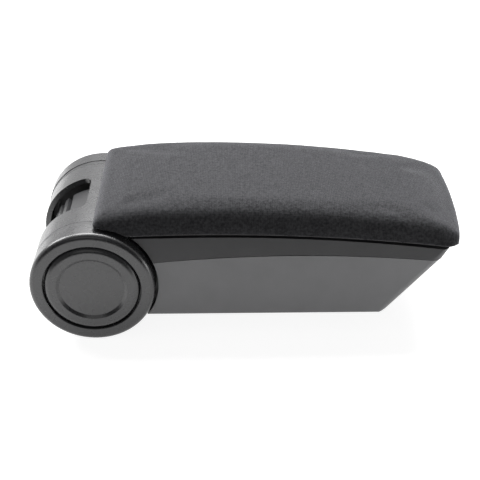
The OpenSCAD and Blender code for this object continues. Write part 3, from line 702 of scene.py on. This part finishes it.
def frame_end(side, name):
    """The upper frame's rear end on one side, between its flank and the barrel, up to the end
    ring."""
    settings = plastic_settings()
    low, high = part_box("upper_frame")
    ring_low, ring_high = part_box("ring_far")
    out, up, back = Vector((0, side, 0)), Vector((0, 0, 1)), Vector((-1, 0, 0))
    faces = [f for f in NODES["upper_frame"].data.polygons if f.center.dot(out) > ring_low.y]
    flank = max((f for f in faces if f.normal.dot(out) > 0.9), key=lambda f: f.area)
    slopes = [f for f in faces if f.normal.dot(back) > 0.7 and f.normal.dot(up) > 0.2]
    rear = min(slopes, key=lambda f: f.center.x)
    top = min((f for f in faces if f.normal.dot(up) > 0.9), key=lambda f: f.center.x)
    inner, outer = ring_low.y + settings.frame_gap, high.y + settings.frame_gap
    radius = ring_high.z
    tail, nose, bottom = END_TAIL * radius, END_NOSE * radius, END_BOTTOM * radius
    middle = ((tail + nose) / 2, side * (inner + outer) / 2, (bottom + high.z) / 2)
    deselect()
    bpy.ops.mesh.primitive_cube_add(size=1, location=middle)
    piece = bpy.context.object
    piece.name = piece.data.name = name
    piece.scale = (nose - tail, outer - inner, high.z - bottom)
    bpy.ops.object.transform_apply(location=True, rotation=True, scale=True)
    trim(piece, [(flank.center.copy(), flank.normal.copy()),
                 (top.center.copy(), top.normal.copy()),
                 (rear.center.copy(), -rear.normal)])
    deselect()
    bpy.ops.mesh.primitive_cylinder_add(
        vertices=192, radius=radius + settings.ring_clearance, depth=4 * ring_high.y,
        rotation=(math.pi / 2, 0, 0))
    cutter = bpy.context.object
    bpy.ops.object.transform_apply(location=True, rotation=True, scale=True)
    cut = piece.modifiers.new("Ring", "BOOLEAN")
    cut.operation = "DIFFERENCE"
    cut.object = cutter
    apply_modifiers(piece)
    bpy.data.objects.remove(cutter)
    return piece


class ARMREST_OT_arm(bpy.types.Operator):
    """Finishes the bin, its frame and its mat, and the lid's base"""
    bl_idname = "armrest.arm"
    bl_label = "Arm"

    def execute(self, context):
        settings = plastic_settings()
        rough, grain = settings.grain_roughness, settings.grain
        body = moulded_plastic(
            "bin_plastic", tuple(settings.bin_colour), rough, grain, GRAINED, BIN_SHINE)
        # The frame's material is darker than the bin's, partly as painted shade under the pad's
        # overhang.
        band = moulded_plastic(
            "frame_plastic", tuple(settings.frame_colour_and_shade), rough, grain, GRAINED, FRAME_SHINE)
        base = moulded_plastic("base_plastic", BASE_COLOUR, rough, grain, GRAINED)
        finish_nodes(["storage_bin"], body)
        finish_nodes(["upper_frame"], band)
        for side, name in ((-1, "frame_end_near"), (1, "frame_end_far")):
            piece = frame_end(side, name)
            piece.data.materials.append(band)
            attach(piece, BODY_OF["upper_frame"])
        finish_nodes(["lid_base"], base)
        finish_nodes(["bin_mat"], ribbed_rubber("mat_rubber", MAT_COLOUR))
        finish_nodes(["lid_bumpers"], ribbed_rubber("bumper_rubber", BUMPER_COLOUR))
        return {"FINISHED"}


class ARMREST_OT_metal(bpy.types.Operator):
    """Finishes the bolt, the screws, the springs, the pawl and the catch"""
    bl_idname = "armrest.metal"
    bl_label = "Metal parts"

    def execute(self, context):
        plated = plated_steel("bolt_steel", BOLT_COLOUR, 0.32)
        wire = plated_steel("spring_steel", SPRING_COLOUR, 0.28)
        sintered = plated_steel("pawl_steel", PAWL_COLOUR, 0.50)
        ferrite = moulded_plastic("magnet_ferrite", MAGNET_COLOUR, 0.55, 0.5 * MM, GRAINED)
        finish_nodes(["pivot_bolt", "pivot_nut", "pivot_washers", "frame_screws", "saddle_screws",
                      "catch_plate"], plated)
        finish_nodes(["button_spring", "pawl_spring"], wire)
        finish_nodes(["pawl"], sintered)
        finish_nodes(["catch_magnet"], ferrite)
        return {"FINISHED"}


# Studio

def area_lamp(name, place, target, width, depth, power):
    lamp = bpy.data.lights.new(name, "AREA")
    lamp.shape = "RECTANGLE"
    lamp.size = width
    lamp.size_y = depth
    lamp.energy = power
    holder = bpy.data.objects.new(name, lamp)
    holder.location = place
    holder.rotation_euler = (Vector(target) - Vector(place)).to_track_quat("-Z", "Y").to_euler()
    bpy.context.scene.collection.objects.link(holder)


def ray_kinds(tree):
    """Sockets that are 1 for a camera ray, for a reflected or refracted one, and for either."""
    path = tree.nodes.new("ShaderNodeLightPath")
    camera = path.outputs["Is Camera Ray"]
    mirrored = arithmetic(tree, "MAXIMUM", path.outputs["Is Glossy Ray"],
                          path.outputs["Is Transmission Ray"])
    return camera, mirrored, arithmetic(tree, "MAXIMUM", camera, mirrored)


def pale_floor():
    """A pale floor that shows white where it is lit, and keeps the object's shadow."""
    low, high = CAD_BOX
    deselect()
    bpy.ops.mesh.primitive_plane_add(size=FLOOR_SIZE, location=(
        (low[0] + high[0]) / 2, FLOOR_SIZE / 2 - studio_settings().floor_edge,
        low[2] - FLOOR_DROP))
    floor = bpy.context.object
    floor.name = floor.data.name = "studio_floor"
    bpy.ops.object.transform_apply(location=True, rotation=True, scale=True)
    material, tree, shader, _ = new_material("floor_paper", FLOOR_COLOUR, 0.9)
    shader.inputs["Specular IOR Level"].default_value = 0
    _, _, seen = ray_kinds(tree)
    glow = tree.nodes.new("ShaderNodeEmission")
    glow.inputs["Color"].default_value = WHITE
    tree.links.new(arithmetic(tree, "MULTIPLY", seen, FLOOR_GLOW), glow.inputs["Strength"])
    total = tree.nodes.new("ShaderNodeAddShader")
    tree.links.new(shader.outputs["BSDF"], total.inputs[0])
    tree.links.new(glow.outputs["Emission"], total.inputs[1])
    tree.links.new(total.outputs["Shader"], tree.nodes["Material Output"].inputs["Surface"])
    floor.data.materials.append(material)


def surroundings():
    """A white room to the camera, a soft light on the object, stronger from the left, and in
    reflections a white room whose front, behind the camera, is dark."""
    settings = studio_settings()
    world = bpy.data.worlds.new("studio")
    bpy.context.scene.world = world
    world.use_nodes = True
    tree = world.node_tree
    back = tree.nodes["Background"]
    back.inputs["Color"].default_value = WHITE
    place = tree.nodes.new("ShaderNodeTexCoord")
    direction = tree.nodes.new("ShaderNodeSeparateXYZ")
    tree.links.new(place.outputs["Generated"], direction.inputs["Vector"])
    across, along = direction.outputs["X"], direction.outputs["Y"]
    camera, mirrored, seen = ray_kinds(tree)
    front = spread(tree, along, settings.dark, 1, FRONT_FROM, FRONT_TO)
    side = spread(tree, across, LEFT_LEVEL, RIGHT_LEVEL, LEFT_FROM, LEFT_TO)
    level = arithmetic(tree, "MULTIPLY", side, settings.surroundings)
    plain = arithmetic(tree, "MULTIPLY", arithmetic(tree, "SUBTRACT", 1, seen), level)
    reflected = arithmetic(tree, "MULTIPLY", mirrored, front)
    total = arithmetic(tree, "ADD", arithmetic(tree, "ADD", plain, reflected), camera)
    tree.links.new(total, back.inputs["Strength"])


class ARMREST_OT_studio(bpy.types.Operator):
    """Sets the camera, the lamps, the floor and the surroundings"""
    bl_idname = "armrest.studio"
    bl_label = "Studio"

    def execute(self, context):
        settings = studio_settings()
        scene = context.scene
        camera = bpy.data.cameras.new("photo_view")
        camera.lens = settings.lens
        camera.sensor_width = SENSOR
        holder = bpy.data.objects.new("photo_view", camera)
        holder.location = settings.camera
        holder.rotation_euler = (math.pi / 2 - settings.elevation, 0, 0)
        scene.collection.objects.link(holder)
        scene.camera = holder
        for name, place, target, width, depth, power in LAMPS:
            area_lamp(name, place, target, width, depth, getattr(settings, power))
        pale_floor()
        surroundings()
        scene.view_settings.view_transform = "Standard"
        return {"FINISHED"}


STEPS = (
    ARMREST_OT_upholstery, ARMREST_OT_barrel, ARMREST_OT_arm, ARMREST_OT_metal,
    ARMREST_OT_studio)


class ARMREST_PT_tools(bpy.types.Panel):
    """Lists the armrest's steps and their settings"""
    bl_idname = "ARMREST_PT_tools"
    bl_label = "Armrest"
    bl_space_type = "VIEW_3D"
    bl_region_type = "UI"
    bl_category = "Armrest"

    def draw(self, context):
        scene = context.scene
        for step in STEPS:
            self.layout.operator(step.bl_idname)
        for group in (scene.armrest_pad, scene.armrest_plastic, scene.armrest_studio):
            box = self.layout.box()
            for name in group.__annotations__:
                box.prop(group, name)


GROUPS = {
    "armrest_pad": ArmrestPad,
    "armrest_plastic": ArmrestPlastic,
    "armrest_studio": ArmrestStudio,
}
CLASSES = (*GROUPS.values(), *STEPS, ARMREST_PT_tools)


def register():
    for cls in CLASSES:
        bpy.utils.register_class(cls)
    for name, group in GROUPS.items():
        setattr(bpy.types.Scene, name, PointerProperty(type=group))


def unregister():
    for name in GROUPS:
        delattr(bpy.types.Scene, name)
    for cls in reversed(CLASSES):
        bpy.utils.unregister_class(cls)


def main():
    register()
    bpy.ops.armrest.upholstery()
    bpy.ops.armrest.barrel()
    bpy.ops.armrest.arm()
    bpy.ops.armrest.metal()
    bpy.ops.armrest.studio()


if __name__ == "__main__":
    main()
